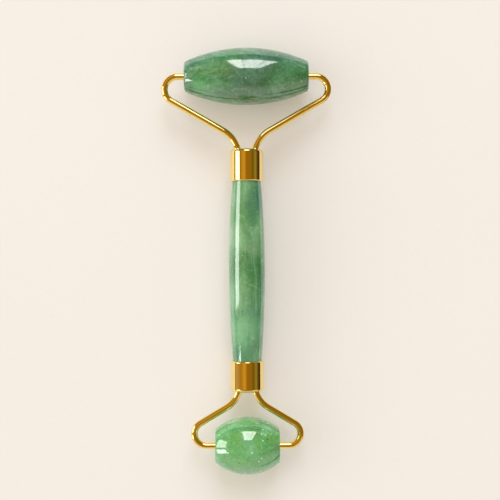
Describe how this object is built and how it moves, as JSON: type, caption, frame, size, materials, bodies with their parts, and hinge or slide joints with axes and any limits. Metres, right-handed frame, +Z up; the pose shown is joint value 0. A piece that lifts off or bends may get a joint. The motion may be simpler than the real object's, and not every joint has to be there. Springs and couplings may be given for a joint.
{
  "type": "jade face roller",
  "caption": "Double-ended face roller: a jade handle with gold-plated wire yokes that carry a long barrel-shaped jade roller at one end and a short one at the other.",
  "frame": {"origin": "on the surface that the roller lies on, under the middle of its whole length and width", "axes": "+X across, along both roller axes; +Y along the handle from the small roller to the large one; +Z up from the surface"},
  "size_m": [0.0578, 0.1448, 0.0194],
  "materials": {
    "handle_jade": "polished",
    "large_roller_jade": "polished",
    "small_roller_jade": "polished",
    "gold_plate": "mirror-polished gold plate",
    "steel": "bright",
    "nylon": "natural nylon",
    "epoxy": "cured glue"
  },
  "bodies": {
    "handle": {"handle_stone": "handle_jade", "large_ferrule": "gold_plate", "large_ferrule_adhesive": "epoxy", "large_stud": "steel", "large_left_arm": "gold_plate", "large_right_arm": "gold_plate", "large_braze_beads": "gold_plate", "small_ferrule": "gold_plate", "small_ferrule_adhesive": "epoxy", "small_stud": "steel", "small_left_arm": "gold_plate", "small_right_arm": "gold_plate", "small_braze_beads": "gold_plate"},
    "large_roller": {"large_roller_stone": "large_roller_jade", "large_left_bush": "nylon", "large_right_bush": "nylon"},
    "small_roller": {"small_roller_stone": "small_roller_jade", "small_left_bush": "nylon", "small_right_bush": "nylon"}
  },
  "joints": [
    {"name": "large_roller_spin", "type": "hinge", "parent": "handle", "child": "large_roller", "pos_m": [0, 0.06275, 0.0097], "axis": [1, 0, 0], "continuous": true},
    {"name": "small_roller_spin", "type": "hinge", "parent": "handle", "child": "small_roller", "pos_m": [0, -0.06275, 0.0097], "axis": [1, 0, 0], "continuous": true}
  ]
}
